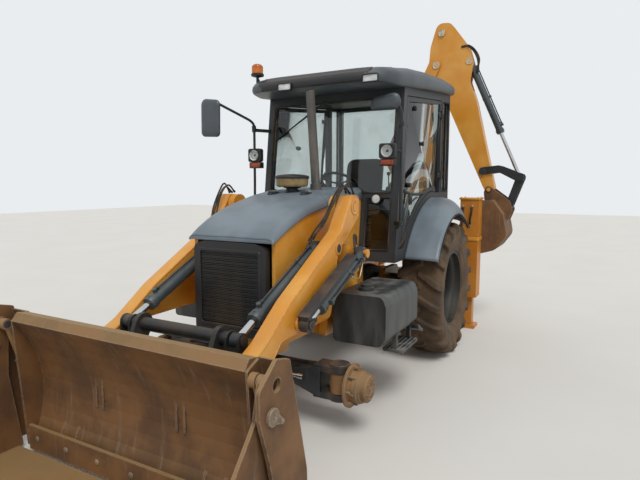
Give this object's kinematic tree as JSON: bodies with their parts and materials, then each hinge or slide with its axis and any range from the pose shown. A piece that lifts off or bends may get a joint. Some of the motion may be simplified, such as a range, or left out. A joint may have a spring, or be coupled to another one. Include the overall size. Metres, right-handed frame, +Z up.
{
  "type": "backhoe loader",
  "caption": "Backhoe loader with a two-part clam bucket on twin arms, closed cab, side-shift backhoe folded to its left, and bare front hubs without wheels.",
  "frame": {"origin": "centre of the bounding box's footprint, on the ground", "axes": "+X to the machine's own left, -Y ahead towards the loader bucket, +Z up"},
  "size_m": [2.6898, 6.13, 3.8918],
  "materials": {
    "orange_paint": "satin",
    "dark_paint": "satin",
    "grey_paint": "satin",
    "black_paint": "satin",
    "worn_steel": "matte",
    "hub_iron": "matte",
    "rod_chrome": "gloss",
    "tyre_rubber": "matte",
    "rim_paint": "satin",
    "pane_glass": "gloss",
    "seat_fabric": "matte",
    "black_plastic": "matte",
    "lamp_plastic": "gloss",
    "engine_iron": "matte",
    "stack_steel": "matte",
    "bowl_plastic": "gloss"
  },
  "bodies": {
    "machine": {"chassis": "orange_paint", "loader_towers": "orange_paint", "engine_block": "engine_iron", "grille": "black_paint", "hood_sides": "orange_paint", "hood_cowl": "dark_paint", "exhaust_stack": "stack_steel", "pre_cleaner": "bowl_plastic", "cab_shell": "dark_paint", "cab_roof": "dark_paint", "cab_glass": "pane_glass", "operator_seat": "seat_fabric", "controls": "black_plastic", "fenders": "grey_paint", "fuel_tank": "black_paint", "battery_box": "black_paint", "mirrors": "black_plastic", "lamps": "lamp_plastic", "rear_axle": "dark_paint", "front_axle": "dark_paint", "rear_frame": "orange_paint"},
    "bonnet": {"hood_lid": "dark_paint"},
    "door_left": {"door_left": "black_paint"},
    "door_right": {"door_right": "black_paint"},
    "wheel_left": {"rear_tyre_left": "tyre_rubber", "rear_rim_left": "rim_paint"},
    "wheel_right": {"rear_tyre_right": "tyre_rubber", "rear_rim_right": "rim_paint"},
    "knuckle_left": {"knuckle_left": "hub_iron"},
    "knuckle_right": {"knuckle_right": "hub_iron"},
    "hub_left": {"hub_left": "hub_iron"},
    "hub_right": {"hub_right": "hub_iron"},
    "tie_rod": {"tie_rod": "dark_paint"},
    "arms": {"loader_arms": "orange_paint"},
    "levers": {"tilt_levers": "black_paint"},
    "links": {"bucket_links": "black_paint"},
    "tilt_barrels": {"tilt_barrels": "black_paint"},
    "tilt_rods": {"tilt_rods": "rod_chrome"},
    "lift_barrels": {"lift_barrels": "black_paint"},
    "lift_rods": {"lift_rods": "rod_chrome", "safety_struts": "orange_paint"},
    "bucket": {"bucket_back": "worn_steel"},
    "jaw": {"bucket_jaw": "worn_steel"},
    "jaw_barrels": {"jaw_barrels": "black_paint"},
    "jaw_rods": {"jaw_rods": "rod_chrome"},
    "stabiliser_left": {"stabiliser_left": "orange_paint"},
    "stabiliser_right": {"stabiliser_right": "orange_paint"},
    "carriage": {"shift_carriage": "orange_paint"},
    "swing_post": {"swing_post": "orange_paint"},
    "boom": {"boom": "orange_paint"},
    "boom_barrel": {"boom_barrel": "black_paint"},
    "boom_rod": {"boom_rod": "rod_chrome"},
    "dipper": {"dipper": "orange_paint"},
    "dipper_barrel": {"dipper_barrel": "black_paint"},
    "dipper_rod": {"dipper_rod": "rod_chrome"},
    "digger_barrel": {"digger_barrel": "black_paint"},
    "digger_rod": {"digger_rod": "rod_chrome"},
    "guide_links": {"guide_links": "black_paint"},
    "digger_link": {"digger_link": "black_paint"},
    "digger_bucket": {"digger_bucket": "worn_steel"}
  },
  "joints": [
    {"name": "arm_lift", "type": "hinge", "parent": "machine", "child": "arms", "pos_m": [-0.19, -0.465, 1.62], "axis": [-1, 0, 0], "range_deg": [0, 95]},
    {"name": "lift_barrel_swing", "type": "hinge", "parent": "machine", "child": "lift_barrels", "pos_m": [-0.19, -0.485, 1.26], "axis": [-1, 0, 0], "range_deg": [-0.6, 90.8]},
    {"name": "lift_rod_slide", "type": "slide", "parent": "lift_barrels", "child": "lift_rods", "axis": [0, -0.9169, -0.3991], "range_m": [-0.003, 0.5347]},
    {"name": "bucket_tilt", "type": "hinge", "parent": "arms", "child": "bucket", "pos_m": [-0.19, -1.925, 0.312], "axis": [1, 0, 0], "range_deg": [-29, 120]},
    {"name": "lever_swing", "type": "hinge", "parent": "arms", "child": "levers", "pos_m": [-0.19, -1.744, 0.56], "axis": [1, 0, 0], "range_deg": [-22.3, 90.4]},
    {"name": "link_swing", "type": "hinge", "parent": "levers", "child": "links", "pos_m": [-0.19, -1.729, 0.857], "axis": [1, 0, 0], "range_deg": [-73.8, 18.3]},
    {"name": "tilt_barrel_swing", "type": "hinge", "parent": "arms", "child": "tilt_barrels", "pos_m": [-0.19, -0.745, 1.32], "axis": [1, 0, 0], "range_deg": [-1, 2.3]},
    {"name": "tilt_rod_slide", "type": "slide", "parent": "tilt_barrels", "child": "tilt_rods", "axis": [0, -0.9048, -0.4258], "range_m": [-0.0982, 0.3967]},
    {"name": "jaw_open", "type": "hinge", "parent": "bucket", "child": "jaw", "pos_m": [-0.19, -2.315, 0.765], "axis": [-1, 0, 0], "range_deg": [0, 70]},
    {"name": "jaw_barrel_swing", "type": "hinge", "parent": "bucket", "child": "jaw_barrels", "pos_m": [-0.19, -2.065, 0.22], "axis": [-1, 0, 0], "range_deg": [-0.6, 7.2]},
    {"name": "jaw_rod_slide", "type": "slide", "parent": "jaw_barrels", "child": "jaw_rods", "axis": [0, -0.2876, 0.9577], "range_m": [-0.1463, 0.003]},
    {"name": "steer_left", "type": "hinge", "parent": "machine", "child": "knuckle_left", "pos_m": [0.58, -0.945, 0.375], "axis": [0, 0, 1], "range_deg": [-40, 40]},
    {"name": "steer_right", "type": "hinge", "parent": "machine", "child": "knuckle_right", "pos_m": [-0.96, -0.945, 0.375], "axis": [0, 0, 1], "range_deg": [-40.6, 40.6]},
    {"name": "tie_rod_swing", "type": "hinge", "parent": "knuckle_left", "child": "tie_rod", "pos_m": [0.58, -0.765, 0.318], "axis": [0, 0, 1], "range_deg": [-40.6, 40.6]},
    {"name": "front_hub_left_spin", "type": "hinge", "parent": "knuckle_left", "child": "hub_left", "pos_m": [0.70998, -0.945, 0.37273], "axis": [0.9998, 0, -0.0175], "continuous": true},
    {"name": "front_hub_right_spin", "type": "hinge", "parent": "knuckle_right", "child": "hub_right", "pos_m": [-1.08998, -0.945, 0.37273], "axis": [0.9998, 0, 0.0175], "continuous": true},
    {"name": "rear_wheel_left_spin", "type": "hinge", "parent": "machine", "child": "wheel_left", "pos_m": [0.668, 1.235, 0.7], "axis": [1, 0, 0], "continuous": true},
    {"name": "rear_wheel_right_spin", "type": "hinge", "parent": "machine", "child": "wheel_right", "pos_m": [-1.048, 1.235, 0.7], "axis": [1, 0, 0], "continuous": true},
    {"name": "door_left_open", "type": "hinge", "parent": "machine", "child": "door_left", "pos_m": [0.56, 1.675, 1.9], "axis": [0, 0, 1], "range_deg": [0, 85]},
    {"name": "door_right_open", "type": "hinge", "parent": "machine", "child": "door_right", "pos_m": [-0.94, 1.675, 1.9], "axis": [0, 0, -1], "range_deg": [0, 85]},
    {"name": "bonnet_open", "type": "hinge", "parent": "machine", "child": "bonnet", "pos_m": [-0.19, -0.405, 1.728], "axis": [-1, 0, 0], "range_deg": [0, 55]},
    {"name": "stabiliser_left_lift", "type": "slide", "parent": "machine", "child": "stabiliser_left", "axis": [0, 0, 1], "range_m": [0, 0.35]},
    {"name": "stabiliser_right_lift", "type": "slide", "parent": "machine", "child": "stabiliser_right", "axis": [0, 0, 1], "range_m": [0, 0.35]},
    {"name": "side_shift", "type": "slide", "parent": "machine", "child": "carriage", "axis": [1, 0, 0], "range_m": [0, 1.1]},
    {"name": "boom_swing", "type": "hinge", "parent": "carriage", "child": "swing_post", "pos_m": [-0.74, 2.785, 0.9], "axis": [0, 0, 1], "range_deg": [0, 180]},
    {"name": "boom_lower", "type": "hinge", "parent": "swing_post", "child": "boom", "pos_m": [-0.49, 2.785, 0.78], "axis": [0, 1, 0], "range_deg": [0, 90]},
    {"name": "boom_barrel_swing", "type": "hinge", "parent": "swing_post", "child": "boom_barrel", "pos_m": [-0.75, 2.785, 1.08], "axis": [0, 1, 0], "range_deg": [-0.6, 85.6]},
    {"name": "boom_rod_slide", "type": "slide", "parent": "boom_barrel", "child": "boom_rod", "axis": [0.4237, 0, 0.9058], "range_m": [-0.003, 0.5628]},
    {"name": "dipper_out", "type": "hinge", "parent": "boom", "child": "dipper", "pos_m": [0.188, 2.785, 3.359], "axis": [0, -1, 0], "range_deg": [0, 110]},
    {"name": "dipper_barrel_swing", "type": "hinge", "parent": "boom", "child": "dipper_barrel", "pos_m": [-0.48, 2.785, 2.2], "axis": [0, -1, 0], "range_deg": [-0.6, 16]},
    {"name": "dipper_rod_slide", "type": "slide", "parent": "dipper_barrel", "child": "dipper_rod", "axis": [0.422, 0, 0.9066], "range_m": [-0.5783, 0.003]},
    {"name": "digger_bucket_open", "type": "hinge", "parent": "dipper", "child": "digger_bucket", "pos_m": [0.919, 2.785, 1.731], "axis": [0, -1, 0], "range_deg": [-25, 105]},
    {"name": "guide_link_swing", "type": "hinge", "parent": "dipper", "child": "guide_links", "pos_m": [0.831, 2.785, 1.957], "axis": [0, -1, 0], "range_deg": [-19.2, 78.8]},
    {"name": "digger_link_swing", "type": "hinge", "parent": "guide_links", "child": "digger_link", "pos_m": [1.283, 2.785, 1.868], "axis": [0, -1, 0], "range_deg": [-46.9, 11.6]},
    {"name": "digger_barrel_swing", "type": "hinge", "parent": "dipper", "child": "digger_barrel", "pos_m": [0.613, 2.785, 3.373], "axis": [0, -1, 0], "range_deg": [-1.2, 3.2]},
    {"name": "digger_rod_slide", "type": "slide", "parent": "digger_barrel", "child": "digger_rod", "axis": [0.4067, 0, -0.9136], "range_m": [-0.5686, 0.1377]}
  ],
  "couplings": [
    {"joint": "lift_barrel_swing", "follows": "arm_lift", "ratio": 0.9494},
    {"joint": "lift_rod_slide", "follows": "arm_lift", "m_per_rad": 0.32066},
    {"joint": "lever_swing", "follows": "bucket_tilt", "ratio": 0.74847},
    {"joint": "link_swing", "follows": "bucket_tilt", "ratio": -0.61018},
    {"joint": "tilt_barrel_swing", "follows": "bucket_tilt", "ratio": 0.0142},
    {"joint": "tilt_rod_slide", "follows": "bucket_tilt", "m_per_rad": 0.18799},
    {"joint": "jaw_barrel_swing", "follows": "jaw_open", "ratio": 0.09412},
    {"joint": "jaw_rod_slide", "follows": "jaw_open", "m_per_rad": -0.11731},
    {"joint": "steer_right", "follows": "steer_left", "ratio": 1},
    {"joint": "tie_rod_swing", "follows": "steer_left", "ratio": -1},
    {"joint": "boom_barrel_swing", "follows": "boom_lower", "ratio": 0.94416},
    {"joint": "boom_rod_slide", "follows": "boom_lower", "m_per_rad": 0.3564},
    {"joint": "dipper_barrel_swing", "follows": "dipper_out", "ratio": 0.13984},
    {"joint": "dipper_rod_slide", "follows": "dipper_out", "m_per_rad": -0.29965},
    {"joint": "guide_link_swing", "follows": "digger_bucket_open", "ratio": 0.74489},
    {"joint": "digger_link_swing", "follows": "digger_bucket_open", "ratio": -0.44112},
    {"joint": "digger_barrel_swing", "follows": "digger_bucket_open", "ratio": 0.02454},
    {"joint": "digger_rod_slide", "follows": "digger_bucket_open", "m_per_rad": -0.30865}
  ]
}
